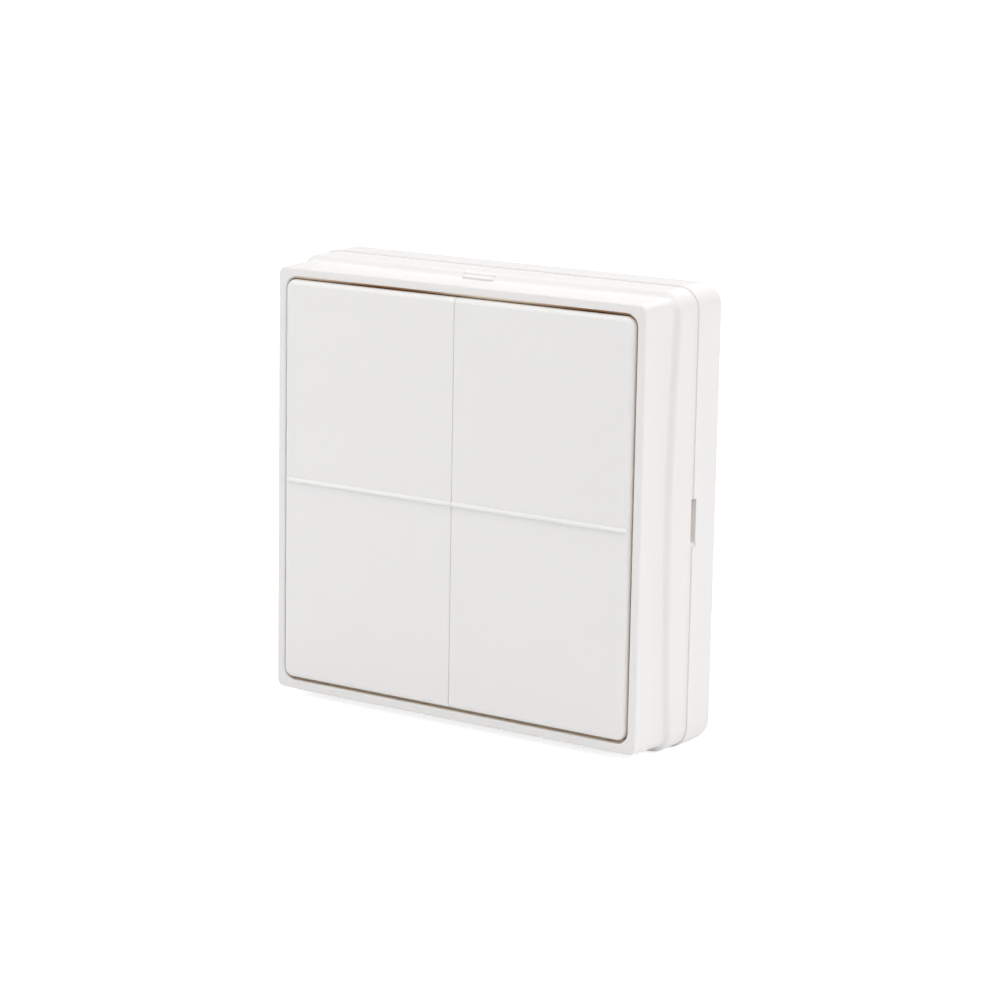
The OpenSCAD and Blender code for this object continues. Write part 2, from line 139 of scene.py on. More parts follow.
def toMesh(name, bm):
    bmesh.ops.remove_doubles(bm, verts=bm.verts, dist=hair)
    bmesh.ops.recalc_face_normals(bm, faces=bm.faces)
    bmesh.ops.transform(bm, matrix=standUp, verts=bm.verts)
    mesh = bpy.data.meshes.new(name)
    bm.to_mesh(mesh)
    bm.free()
    return mesh


def piece(name, bm, materials, body, stands=()):
    mesh = toMesh(name, bm)
    obj = bpy.data.objects.new(name, mesh)
    bpy.context.scene.collection.objects.link(obj)
    for mat in materials:
        mesh.materials.append(mat)
    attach(obj, body)
    if stands:
        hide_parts(*stands)
    return obj


def carve(obj, cutters):
    for bm in cutters:
        cutter = bpy.data.objects.new("cutter", toMesh("cutter", bm))
        bpy.context.scene.collection.objects.link(cutter)
        cut = obj.modifiers.new("cut", "BOOLEAN")
        cut.operation = "DIFFERENCE"
        cut.solver = "EXACT"
        cut.object = cutter
        graph = bpy.context.evaluated_depsgraph_get()
        carved = bpy.data.meshes.new_from_object(obj.evaluated_get(graph))
        obj.modifiers.clear()
        old = obj.data
        obj.data = carved
        bpy.data.objects.remove(cutter)
        bpy.data.meshes.remove(old)


softenSpec = {"angle": 32, "weight": 100}


def soften(obj, angle=softenSpec["angle"]):
    obj.data.shade_smooth()
    obj.data.set_sharp_from_angle(angle=math.radians(angle))
    weigh = obj.modifiers.new("evenNormals", "WEIGHTED_NORMAL")
    weigh.keep_sharp = True
    weigh.weight = softenSpec["weight"]


# Materials
def nodeTree(name):
    mat = bpy.data.materials.new(name)
    mat.use_nodes = True
    tree = mat.node_tree
    return mat, tree, tree.nodes["Principled BSDF"]


def addNode(tree, kind, **values):
    made = tree.nodes.new(kind)
    for key, value in values.items():
        if key in made.inputs:
            made.inputs[key].default_value = value
        else:
            setattr(made, key, value)
    return made


def mixTones(tree, first, second):
    mix = addNode(tree, "ShaderNodeMix", data_type="RGBA")
    mix.inputs["A"].default_value = (*first, 1)
    mix.inputs["B"].default_value = (*second, 1)
    return mix


grainSpec = {"inputs": ("Scale", "Depth", "Gloss", "Spread"), "fineDetail": 3.0, "fineRoughness": 0.6,
             "bumpDistance": 0.00006, "slowScale": 45.0, "slowDetail": 2.0}


def grainGroup(spec):
    # Spark-eroded mould texture: fine bump, with a slow drift of gloss and tint
    group = bpy.data.node_groups.new("mouldGrain", "ShaderNodeTree")
    for socket in spec["inputs"]:
        group.interface.new_socket(socket, in_out="INPUT", socket_type="NodeSocketFloat")
    group.interface.new_socket("Normal", in_out="OUTPUT", socket_type="NodeSocketVector")
    for socket in ("Roughness", "Drift"):
        group.interface.new_socket(socket, in_out="OUTPUT", socket_type="NodeSocketFloat")
    inlet = addNode(group, "NodeGroupInput")
    outlet = addNode(group, "NodeGroupOutput")
    coords = addNode(group, "ShaderNodeTexCoord")
    fine = addNode(group, "ShaderNodeTexNoise", Detail=spec["fineDetail"], Roughness=spec["fineRoughness"])
    bump = addNode(group, "ShaderNodeBump", Distance=spec["bumpDistance"])
    slow = addNode(group, "ShaderNodeTexNoise", Scale=spec["slowScale"], Detail=spec["slowDetail"])
    scaled = addNode(group, "ShaderNodeMath", operation="MULTIPLY_ADD")
    link = group.links.new
    link(coords.outputs["Object"], fine.inputs["Vector"])
    link(coords.outputs["Object"], slow.inputs["Vector"])
    link(inlet.outputs["Scale"], fine.inputs["Scale"])
    link(inlet.outputs["Depth"], bump.inputs["Strength"])
    link(fine.outputs["Fac"], bump.inputs["Height"])
    link(slow.outputs["Fac"], scaled.inputs[0])
    link(inlet.outputs["Spread"], scaled.inputs[1])
    link(inlet.outputs["Gloss"], scaled.inputs[2])
    link(bump.outputs["Normal"], outlet.inputs["Normal"])
    link(scaled.outputs["Value"], outlet.inputs["Roughness"])
    link(slow.outputs["Fac"], outlet.inputs["Drift"])
    return group


mouldGrain = grainGroup(grainSpec)


def grainNode(tree, spec):
    grain = addNode(tree, "ShaderNodeGroup", node_tree=mouldGrain)
    for key in grainSpec["inputs"]:
        grain.inputs[key].default_value = spec[key]
    return grain


waveTurns = 20.0  # radians per metre in a Wave texture at a scale of 1


def paintShadowStretches(tree, spec, coords):
    # Painted shadow: paler and darker stretches of painted shade along a gap
    wave = addNode(tree, "ShaderNodeTexWave", Distortion=spec["shadowWander"], Detail=spec["shadowDetail"])
    wave.inputs["Detail Scale"].default_value = spec["shadowDetailScale"]
    wave.inputs["Scale"].default_value = math.tau / (waveTurns * spec["shadowPitch"] * mm)
    wave.inputs["Phase Offset"].default_value = -math.tau * spec["shadowAt"] / spec["shadowPitch"]
    stretch = mixTones(tree, spec["shadow"], spec["deepShade"])
    tree.links.new(coords.outputs["Object"], wave.inputs["Vector"])
    tree.links.new(wave.outputs["Fac"], stretch.inputs["Factor"])
    return stretch.outputs["Result"]


def paintGapShade(tree, spec, shade):
    # Painted shade: the colour turns warmer and darker with depth behind the rim, standing in for the shade
    # deep in the gaps
    link = tree.links.new
    coords = addNode(tree, "ShaderNodeTexCoord")
    split = addNode(tree, "ShaderNodeSeparateXYZ")
    ramp = addNode(tree, "ShaderNodeMapRange", interpolation_type="SMOOTHSTEP")
    ramp.inputs["From Min"].default_value = -(rimZ - spec["deepShadeFrom"]) * mm
    ramp.inputs["From Max"].default_value = -(rimZ - spec["deepShadeTo"]) * mm
    deep = mixTones(tree, spec["tone"], spec["deepShade"])
    if "shadow" in spec:
        link(paintShadowStretches(tree, spec, coords), deep.inputs["B"])
    link(coords.outputs["Object"], split.inputs["Vector"])
    link(split.outputs["Y"], ramp.inputs["Value"])
    link(ramp.outputs["Result"], deep.inputs["Factor"])
    link(shade, deep.inputs["A"])
    return deep.outputs["Result"]


def moulded(name, spec):
    mat, tree, shader = nodeTree(name)
    link = tree.links.new
    grain = grainNode(tree, spec)
    tint = mixTones(tree, spec["tone"], spec["drift"])
    link(grain.outputs["Drift"], tint.inputs["Factor"])
    shade = tint.outputs["Result"]
    if "deepShade" in spec:
        shade = paintGapShade(tree, spec, shade)
    link(shade, shader.inputs["Base Color"])
    link(grain.outputs["Roughness"], shader.inputs["Roughness"])
    link(grain.outputs["Normal"], shader.inputs["Normal"])
    shader.inputs["IOR"].default_value = spec["ior"]
    return mat


def plated(name, spec):
    # Plated or brushed metal: fine lines along one axis
    mat, tree, shader = nodeTree(name)
    link = tree.links.new
    coords = addNode(tree, "ShaderNodeTexCoord")
    stretch = addNode(tree, "ShaderNodeMapping", Scale=spec["stretch"])
    lines = addNode(tree, "ShaderNodeTexNoise", Scale=spec["scale"], Detail=spec["detail"])
    tint = mixTones(tree, spec["tone"], spec["drift"])
    gloss = addNode(tree, "ShaderNodeMapRange")
    gloss.inputs["To Min"].default_value = spec["gloss"][0]
    gloss.inputs["To Max"].default_value = spec["gloss"][1]
    bump = addNode(tree, "ShaderNodeBump", Strength=spec["bumpStrength"], Distance=spec["bumpDistance"])
    link(coords.outputs["Object"], stretch.inputs["Vector"])
    link(stretch.outputs["Vector"], lines.inputs["Vector"])
    link(lines.outputs["Fac"], tint.inputs["Factor"])
    link(lines.outputs["Fac"], gloss.inputs["Value"])
    link(lines.outputs["Fac"], bump.inputs["Height"])
    link(tint.outputs["Result"], shader.inputs["Base Color"])
    link(gloss.outputs["Result"], shader.inputs["Roughness"])
    link(bump.outputs["Normal"], shader.inputs["Normal"])
    shader.inputs["Metallic"].default_value = 1.0
    return mat


shellTone = {"tone": (0.862, 0.849, 0.838), "drift": (0.847, 0.833, 0.822), "ior": 1.5,
             "Scale": 3200.0, "Depth": 0.25, "Gloss": 0.42, "Spread": 0.1}
rockerTone = {**shellTone, "tone": (0.875, 0.867, 0.86), "drift": (0.862, 0.853, 0.845)}
# Painted light and shade of the gaps: near the rim the walls are painted paler than the shell, and the
# painted deep shade grows between two depths behind the rim
gapPaintedLightAndShadeTone = {**shellTone, "tone": (0.9, 0.88, 0.86), "drift": (0.88, 0.86, 0.84),
           "deepShade": (0.9, 0.79, 0.67), "deepShadeFrom": 0.2, "deepShadeTo": 1.3}
# Painted shadow along the top gap: brown stretches of painted shade, paler and darker in turn, on the
# rockers' top walls, the opening's top wall and the ledge
topPaintedShadowTone = {**gapPaintedLightAndShadeTone, "deepShade": (0.94, 0.79, 0.62), "deepShadeFrom": 0.4, "deepShadeTo": 1.0, "ior": 1.15,
           "shadow": (0.4, 0.18, 0.05), "shadowPitch": 48.0, "shadowAt": -18.0,
           "shadowWander": 1.5, "shadowDetail": 2.0, "shadowDetailScale": 3.0}
# Painted shade: a pale tan tone on the rockers' walls that face each other, for the shade in the groove
# between them
seamPaintedShadeTone = {**shellTone, "tone": (0.92, 0.86, 0.78), "drift": (0.9, 0.84, 0.76)}
# Painted shade on the parting step of the base along its right side
partingPaintedShadeTone = {**shellTone, "tone": (0.84, 0.81, 0.785), "drift": (0.82, 0.79, 0.765)}
# Painted shade: a darker, warmer tone inside the prying slot, for the shade in the recess
slotPaintedShadeTone = {**shellTone, "tone": (0.8, 0.755, 0.715), "drift": (0.78, 0.735, 0.695)}
shellWhite = moulded("shellWhite", shellTone)
rockerWhite = moulded("rockerWhite", rockerTone)
gapPaintedLightAndShade = moulded("gapPaintedLightAndShade", gapPaintedLightAndShadeTone)
topPaintedShadow = moulded("topPaintedShadow", topPaintedShadowTone)
seamPaintedShade = moulded("seamPaintedShade", seamPaintedShadeTone)
partingPaintedShade = moulded("partingPaintedShade", partingPaintedShadeTone)
slotPaintedShade = moulded("slotPaintedShade", slotPaintedShadeTone)
print("shell materials made")


# Base: back box with a soft back edge, proud of the housing, with slots for wall screws
baseSpec = {"corner": 4.3, "wall": 2.3, "floor": 1.8, "backRound": 1.5, "backSteps": 7,
            "seamRound": 0.05, "seamSteps": 2, "screwPitch": 60.0, "slotW": 4.2, "slotL": 8.0,
            "slotEdge": 0.35, "slotSteps": 10, "slotWeld": 0.005}
prySpec = {"top": 4.35, "end": -3.8, "ramp": 1.2, "rampFlare": 0.8, "intoBase": 0.85,
           "intoHousing": 0.4, "deep": 0.75}


def pryCutters(spec):
    # Slot beside the parting line, and a ramp at its lower end that opens towards the back
    floorX = plateHalf - spec["deep"]
    outX = baseHalf + overcut
    backZ = partingZ - spec["intoBase"]
    frontZ = partingZ + spec["intoHousing"]
    slot = bmesh.new()
    block(slot, (floorX, spec["end"], backZ), (outX, spec["top"], frontZ))
    # The slot's faces take the slot's painted shade
    for f in slot.faces:
        f.material_index = 1  # slotPaintedShade, in the base as in the housing
    ramp = bmesh.new()
    toeY = spec["end"] - spec["ramp"]
    verts = block(ramp, (floorX, toeY, backZ), (outX, spec["end"] + touch, frontZ))
    mouth = [v for v in verts if v.co.x > baseHalf and v.co.z < partingZ]
    toe = [v for v in verts if v.co.x < baseHalf and v.co.y < spec["end"]]
    bmesh.ops.translate(ramp, verts=mouth, vec=(0, 0, -spec["rampFlare"]))
    bmesh.ops.translate(ramp, verts=toe, vec=(baseHalf - floorX, 0, 0))
    return [slot, ramp]


def slotCutter(side, spec):
    # Slot for a wall screw, with a chamfered mouth on the back
    half = spec["slotL"] / 2
    radius = spec["slotW"] / 2
    edge = spec["slotEdge"]
    cut = bmesh.new()
    verts = block(cut, (-half, -radius, 0), (half, radius, spec["floor"] + overcut))
    roundEdges(cut, uprights(verts), radius, spec["slotSteps"])
    bmesh.ops.remove_doubles(cut, verts=cut.verts, dist=spec["slotWeld"])
    flare = raiseFace(cut, widest(cut, 0), -edge)
    growth = 4 * edge  # twice the edge on every side
    bmesh.ops.scale(cut, verts=flare.verts, vec=(1 + growth / spec["slotL"], 1 + growth / spec["slotW"], 1))
    bmesh.ops.translate(cut, verts=cut.verts, vec=(side * spec["screwPitch"] / 2, 0, edge / 2))
    return cut


def makeBase(spec):
    finishes = [shellWhite, slotPaintedShade, partingPaintedShade]
    bm = bmesh.new()
    verts = block(bm, (-baseHalf, -baseHalf, 0), (baseHalf, baseHalf, partingZ))
    roundEdges(bm, uprights(verts), spec["corner"], caseSpec["cornerSteps"])
    roundEdges(bm, level(bm, 0), spec["backRound"], spec["backSteps"])
    roundEdges(bm, level(bm, partingZ), spec["seamRound"], spec["seamSteps"])
    pocket(bm, partingZ, spec["wall"], spec["floor"])
    # The parting step along the right side takes painted shade; on the top it stays white
    seamZ = partingZ - spec["seamRound"] - touch
    for f in bm.faces:
        onSeam = min(v.co.z for v in f.verts) > seamZ
        if onSeam and f.calc_center_median().x > plateHalf - spec["wall"]:
            f.material_index = finishes.index(partingPaintedShade)
    obj = piece("backBox", bm, finishes, "case", ["base"])
    carve(obj, [slotCutter(side, spec) for side in (-1, 1)] + pryCutters(prySpec))
    soften(obj)


# Housing: middle shell with a deck, whose front edge falls back towards the corners
housingSpec = {"wall": 2.0, "jointRound": 0.1, "jointSteps": 2, "jointGap": 0.05, "bowBand": 0.3,
               "deckBack": 12.9, "deckFront": 14.0}
# Prying notch: half widths, depths from the joint and drops from the top, each at the back and at the front
notchSpec = {
    "heel": {"half": (4.3, 4.3), "depth": (-1.2, 1.0), "drop": (0.02, 0.85), "round": 0.2, "steps": 5},
    "slope": {"half": (4.2, 3.7), "depth": (-0.6, 0.85), "drop": (0.2, 1.15), "round": 0.2, "steps": 5},
    "trench": {"half": (3.6, 3.3), "depth": (0.8, 2.1), "drop": (2.1, 2.1), "round": 0.45, "steps": 5},
}


def notchCutter(spec):
    backHalf, frontHalf = spec["half"]
    backDrop, frontDrop = spec["drop"]
    backZ, frontZ = (jointZ + d for d in spec["depth"])
    cut = bmesh.new()
    verts = block(cut, (-backHalf, plateHalf - frontDrop, backZ), (backHalf, plateHalf + overcut, frontZ))
    front = [v for v in verts if v.co.z > frontZ - touch]
    heel = [v for v in verts if v not in front and v.co.y < plateHalf]
    bmesh.ops.scale(cut, verts=front, vec=(frontHalf / backHalf, 1, 1))
    bmesh.ops.translate(cut, verts=heel, vec=(0, frontDrop - backDrop, 0))
    frontEdges = [e for e in cut.edges if all(v in front for v in e.verts)]
    corners = [e for e in frontEdges if abs(e.verts[0].co.x - e.verts[1].co.x) < touch]
    roundEdges(cut, corners, spec["round"], spec["steps"])
    return cut


def makeHousing(spec):
    frontZ = jointZ - spec["jointGap"]
    bm = bmesh.new()
    verts = block(bm, (-plateHalf, -plateHalf, partingZ), (plateHalf, plateHalf, frontZ))
    roundEdges(bm, uprights(verts), caseSpec["corner"], caseSpec["cornerSteps"])
    cutSides(bm, level(bm, partingZ) + level(bm, frontZ))
    roundEdges(bm, level(bm, frontZ), spec["jointRound"], spec["jointSteps"])
    pocket(bm, partingZ, spec["wall"], spec["deckBack"])
    pocket(bm, frontZ, spec["wall"], spec["deckFront"])
    for v in bm.verts:
        if v.co.z > frontZ - spec["bowBand"]:
            v.co.z -= bowAt(v.co)
    obj = piece("middleShell", bm, [shellWhite, slotPaintedShade], "case", ["housing"])
    carve(obj, pryCutters(prySpec) + [notchCutter(notchSpec["heel"])])
    soften(obj)


# Bezel: rim with small corners, drafted side, and a cove that flares out to the bowed joint
bezelSpec = {"ledge": 1.3, "draft": 0.25, "rimCorner": 1.6, "rimRound": 0.4, "rimSteps": 5,
             "lip": 0.15, "sweep": 1.2, "sweepCuts": 11, "bowTop": 20.5,
             "openHalf": 39.7, "openCorner": 2.5, "openRound": 0.35, "openSteps": 3, "topBand": 0.5}


def ring(bm, half, radius, lowZ, highZ):
    # Rounded block with cross cuts along its straight sides; gives back its lower and upper cap
    verts = block(bm, (-half, -half, lowZ), (half, half, highZ))
    made = roundEdges(bm, uprights(verts), radius, caseSpec["cornerSteps"])
    edges = {e for f in made["faces"] for v in f.verts for e in v.link_edges}
    cutSides(bm, [e for e in edges if rise(e) < hair])
    wide = [f for f in bm.faces if len(f.verts) > caseSpec["capCorners"]]
    caps = [f for f in wide if abs(max(outward(v) for v in f.verts) - half) < slack]
    return sorted(caps, key=lambda f: f.verts[0].co.z)


def drawCove(bm, spec, lipZ, footZ):
    # Flange at the joint and drafted body up to the rim, bridged by a smooth cove
    foot = plateHalf - spec["ledge"]
    flange = ring(bm, plateHalf, caseSpec["corner"], jointZ, lipZ)
    body = ring(bm, foot, spec["rimCorner"], footZ, rimZ)
    taper = (foot - spec["draft"]) / foot
    bmesh.ops.scale(bm, verts=body[1].verts, vec=(taper, taper, 1))
    loops = list(flange[1].edges) + list(body[0].edges)
    bmesh.ops.delete(bm, geom=[flange[1], body[0]], context="FACES_ONLY")
    flare = bmesh.ops.bridge_loops(bm, edges=loops)["faces"]
    across = {e for f in flare for e in f.edges if rise(e) > hair}
    bmesh.ops.recalc_face_normals(bm, faces=bm.faces)
    bmesh.ops.subdivide_edgering(bm, edges=list(across), cuts=spec["sweepCuts"], interp_mode="SURFACE",
                                 smooth=1.0)
    roundEdges(bm, level(bm, rimZ), spec["rimRound"], spec["rimSteps"])


def openFront(bm, spec, finishes):
    # Opening: a second rounded block, whose walls are bridged to the rim and to the back
    half = spec["openHalf"]
    shell, gap, top = (finishes.index(f) for f in (shellWhite, gapPaintedLightAndShade, topPaintedShadow))
    caps = [widest(bm, jointZ), widest(bm, rimZ)]
    openCaps = ring(bm, half, spec["openCorner"], jointZ, rimZ)
    # The opening's walls take the gaps' painted light and shade
    for f in bm.faces:
        if all(outward(v) < half + slack for v in f.verts):
            f.material_index = gap
    loops = [list(a.edges) + list(b.edges) for a, b in zip(caps, openCaps)]
    bmesh.ops.delete(bm, geom=caps + openCaps, context="FACES_ONLY")
    for loop in loops:
        for f in bmesh.ops.bridge_loops(bm, edges=loop)["faces"]:
            f.material_index = shell
    bmesh.ops.recalc_face_normals(bm, faces=bm.faces)
    mouth = [e for e in level(bm, rimZ) if all(outward(v) < half + slack for v in e.verts)]
    roundEdges(bm, mouth, spec["openRound"], spec["openSteps"])
    # Walls along the top gap take the painted shadow stretches
    for f in bm.faces:
        if f.material_index == gap and min(v.co.y for v in f.verts) > half - spec["topBand"]:
            f.material_index = top


def makeBezel(spec):
    finishes = [shellWhite, gapPaintedLightAndShade, topPaintedShadow]
    lipZ = jointZ + spec["lip"]
    footZ = lipZ + spec["sweep"]
    bm = bmesh.new()
    drawCove(bm, spec, lipZ, footZ)
    openFront(bm, spec, finishes)
    # The joint is bowed, and the cove is drawn out with it towards the corners
    for v in bm.verts:
        share = min(max((spec["bowTop"] - v.co.z) / (spec["bowTop"] - footZ), 0), 1)
        v.co.z -= bowAt(v.co) * share * share * (3 - 2 * share)
    obj = piece("frontFrame", bm, finishes, "case", ["bezel"])
    carve(obj, [notchCutter(notchSpec[k]) for k in ("slope", "trench")])
    soften(obj)


# Ledge inside the opening, which closes off the depth of the gap around the rockers and carries the gaps'
# painted light and shade.
# Its lower side is sunk, up to the first height above its lower edge, and levels out at the second.
ledgeSpec = {"into": 0.2, "reach": 0.62, "behindRim": 0.9, "thick": 0.7,
             "sink": 0.75, "sinkRise": (3.0, 6.0)}


def makeLedge(spec):
    finishes = [gapPaintedLightAndShade, topPaintedShadow]
    half = bezelSpec["openHalf"] + spec["into"]
    radius = bezelSpec["openCorner"] + spec["into"]
    frontZ = rimZ - spec["behindRim"]
    backZ = frontZ - spec["thick"]
    bm = bmesh.new()
    verts = block(bm, (-half, -half, backZ), (half, half, frontZ))
    roundEdges(bm, uprights(verts), radius, caseSpec["cornerSteps"])
    caps = [widest(bm, backZ), widest(bm, frontZ)]
    for cap in caps:
        bmesh.ops.inset_region(bm, faces=[cap], thickness=spec["reach"], use_even_offset=True)
    loops = [e for cap in caps for e in cap.edges]
    bmesh.ops.delete(bm, geom=caps, context="FACES_ONLY")
    bmesh.ops.bridge_loops(bm, edges=loops)
    left = [v for v in bm.verts if v.co.x < -half / 2]
    bmesh.ops.translate(bm, verts=left, vec=(-rockerSpec["settle"], 0, 0))
    for height in spec["sinkRise"]:
        bmesh.ops.bisect_plane(bm, geom=bm.verts[:] + bm.edges[:] + bm.faces[:], dist=hair,
                               plane_co=(0, height - half, 0), plane_no=(0, 1, 0))
    low = [v for v in bm.verts if v.co.y < spec["sinkRise"][0] - half + slack]
    bmesh.ops.translate(bm, verts=low, vec=(0, 0, -spec["sink"]))
    # Faces along the top gap take the painted shadow stretches, the rest the gaps' painted light and shade
    for f in bm.faces:
        if min(v.co.y for v in f.verts) > bezelSpec["openHalf"] - bezelSpec["topBand"]:
            f.material_index = finishes.index(topPaintedShadow)
    soften(piece("openingLedge", bm, finishes, "case"))


# Rockers: thin shells with rounded face edges, and a raised ridge across the middle
rockerSpec = {"outerCorner": 1.9, "cornerSteps": 10, "faceRound": 1.15, "faceSteps": 8,
              "centreRound": 0.25, "centreSteps": 4, "closeUp": 0.125, "settle": 0.48,
              "face": 1.4, "skirt": 1.3, "skirtDrop": 4.58, "wallTilt": 0.25, "facing": 0.7,
              "ridgeW": 0.96, "ridgeH": 0.45, "ridgeUp": 1.15, "ridgeDown": 0.6, "ridgeRise": 0.15,
              "ridgeOuter": 0.3, "ridgeInner": -0.08, "ridgeTip": 0.12, "tipSteps": 3, "ridgeSides": 28,
              "ridgeSoft": 60}


def makeRocker(side, name, node, spec):
    finishes = [rockerWhite, gapPaintedLightAndShade, topPaintedShadow, seamPaintedShade]
    faceZ = ridgeTopZ - spec["ridgeH"]
    skirtZ = faceZ - spec["skirtDrop"]
    top = rockerOut  # the two rockers together are square
    inX = side * (rockerIn - spec["closeUp"])
    outX = side * rockerOut
    if side < 0:
        outX -= spec["settle"]  # the left one has settled towards its side of the opening
    bm = bmesh.new()
    verts = block(bm, (min(inX, outX), -top, skirtZ), (max(inX, outX), top, faceZ))
    outer = [e for e in uprights(verts) if abs(e.verts[0].co.x - outX) < hair]
    roundEdges(bm, outer, spec["outerCorner"], spec["cornerSteps"])
    rim = [e for e in level(bm, faceZ) if any(abs(v.co.x - inX) > hair for v in e.verts)]
    roundEdges(bm, rim, spec["faceRound"], spec["faceSteps"])
    inside = [e for e in bm.edges if all(abs(v.co.x - inX) < hair for v in e.verts)]
    centre = [e for e in inside if any(v.co.z > skirtZ + hair for v in e.verts)]
    roundEdges(bm, centre, spec["centreRound"], spec["centreSteps"])
    pocket(bm, skirtZ, spec["skirt"], faceZ - spec["face"])
    bm.normal_update()
    # Painted shade on the walls below the face edge: brown shadow stretches on the top wall, a tan tone on
    # the wall facing the other rocker, and the gaps' painted light and shade elsewhere
    for f in bm.faces:
        if abs(f.normal.z) < spec["wallTilt"]:
            inward = f.normal.x * side < -spec["facing"]
            wall = topPaintedShadow if f.normal.y > spec["facing"] else seamPaintedShade if inward else gapPaintedLightAndShade
            f.material_index = finishes.index(wall)
    soften(piece(name, bm, finishes, node, [node]))


def makeRidge(side, name, node, spec):
    # Half-round bar, let into the face, with softened ends and a steeper lower side
    inEnd = rockerIn + spec["ridgeInner"]
    outEnd = rockerOut - spec["ridgeOuter"]
    half = spec["ridgeW"] / 2
    bm = bmesh.new()
    bmesh.ops.create_cone(bm, cap_ends=True, segments=spec["ridgeSides"], radius1=half, radius2=half,
                          depth=outEnd - inEnd)
    roundEdges(bm, [e for e in bm.edges if rise(e) < hair], spec["ridgeTip"], spec["tipSteps"])
    bmesh.ops.rotate(bm, verts=bm.verts, matrix=Matrix.Rotation(math.radians(90), 3, "Y"))
    bmesh.ops.scale(bm, verts=[v for v in bm.verts if v.co.y > 0], vec=(1, spec["ridgeUp"], 1))
    bmesh.ops.scale(bm, verts=[v for v in bm.verts if v.co.y < 0], vec=(1, spec["ridgeDown"], 1))
    middle = side * (inEnd + outEnd) / 2
    bmesh.ops.translate(bm, verts=bm.verts, vec=(middle, spec["ridgeRise"], ridgeTopZ - half))
    soften(piece(name + "Ridge", bm, [rockerWhite], node), spec["ridgeSoft"])


makeBase(baseSpec)
makeHousing(housingSpec)
makeBezel(bezelSpec)
makeLedge(ledgeSpec)
for side, name, node in ((-1, "leftRocker", "left_rocker"), (1, "rightRocker", "right_rocker")):
    makeRocker(side, name, node, rockerSpec)
    makeRidge(side, name, node, rockerSpec)
print("shells and rockers made")


# Inner pieces keep their solids and get their own finishes
def sleeved(name, spec):
    # Printed sleeve with bare steel ends
    mat, tree, shader = nodeTree(name)
    link = tree.links.new
    coords = addNode(tree, "ShaderNodeTexCoord")
    split = addNode(tree, "ShaderNodeSeparateXYZ")
    spread = addNode(tree, "ShaderNodeMath", operation="ABSOLUTE")
    ends = addNode(tree, "ShaderNodeMath", operation="GREATER_THAN")
    ends.inputs[1].default_value = spec["sleeveHalf"] * mm
    grain = grainNode(tree, spec)
    sleeve = mixTones(tree, spec["tone"], spec["drift"])
    tint = mixTones(tree, spec["tone"], spec["steel"])
    link(coords.outputs["Object"], split.inputs["Vector"])
    link(split.outputs["X"], spread.inputs[0])
    link(spread.outputs["Value"], ends.inputs[0])
    link(grain.outputs["Drift"], sleeve.inputs["Factor"])
    link(sleeve.outputs["Result"], tint.inputs["A"])
    link(ends.outputs["Value"], tint.inputs["Factor"])
    link(tint.outputs["Result"], shader.inputs["Base Color"])
    link(ends.outputs["Value"], shader.inputs["Metallic"])
    link(grain.outputs["Roughness"], shader.inputs["Roughness"])
    link(grain.outputs["Normal"], shader.inputs["Normal"])
    return mat


def dress(mat, *names):
    for name in names:
        nodes[name].data.materials.clear()
        nodes[name].data.materials.append(mat)


corners = [end + "_" + hand for end in ("upper", "lower") for hand in ("left", "right")]
zincTone = {"tone": (0.6, 0.6, 0.62), "drift": (0.5, 0.5, 0.53), "gloss": (0.25, 0.45), "stretch": (1, 1, 1),
            "scale": 900.0, "detail": 4.0, "bumpStrength": 0.15, "bumpDistance": 0.00004}
nickelTone = {**zincTone, "tone": (0.72, 0.71, 0.68), "drift": (0.64, 0.63, 0.6), "stretch": (0.1, 1, 1)}
tinTone = {**nickelTone, "gloss": (0.3, 0.5)}
carrierTone = {**shellTone, "tone": (0.74, 0.63, 0.5), "drift": (0.7, 0.59, 0.46)}
boardTone = {**shellTone, "tone": (0.02, 0.1, 0.045), "drift": (0.025, 0.13, 0.06),
             "Scale": 1200.0, "Gloss": 0.3}
chipTone = {**shellTone, "tone": (0.02, 0.02, 0.022), "drift": (0.032, 0.031, 0.032), "Gloss": 0.5}
switchTone = {**chipTone, "Gloss": 0.4}
stemTone = {**shellTone, "tone": (0.11, 0.05, 0.025), "drift": (0.13, 0.065, 0.035)}
cellTone = {**shellTone, "tone": (0.02, 0.05, 0.14), "drift": (0.03, 0.065, 0.17), "Gloss": 0.25,
            "steel": (0.62, 0.61, 0.6), "sleeveHalf": 20.5}
dress(moulded("carrierBuff", carrierTone), "carrier")
dress(plated("screwZinc", zincTone), "carrier_screws")
dress(plated("shieldTin", tinTone), "radio_shield")
dress(plated("contactNickel", nickelTone), "link_contact", "positive_contact", "negative_contact")
dress(moulded("boardGreen", boardTone), "circuit_board")
dress(moulded("chipBlack", chipTone), "controller_chip")
dress(moulded("switchBlack", switchTone), *["switch_" + c for c in corners])
dress(moulded("stemBrown", stemTone), *["stem_" + c for c in corners])
dress(sleeved("cellSleeve", cellTone), "upper_cell", "lower_cell")
print("inner pieces dressed")


# Camera: fitted to the edges in the photograph, whose frame is 1000 pixels square
cameraSpec = {"azimuth": 34.29, "elevation": 11.389, "roll": 1.031, "distance": 596.4, "focalPixels": 3227.7,
              "frame": 1000, "target": (10.786, -24.2, 2.39), "sensor": 36, "clip": (0.01, 50)}


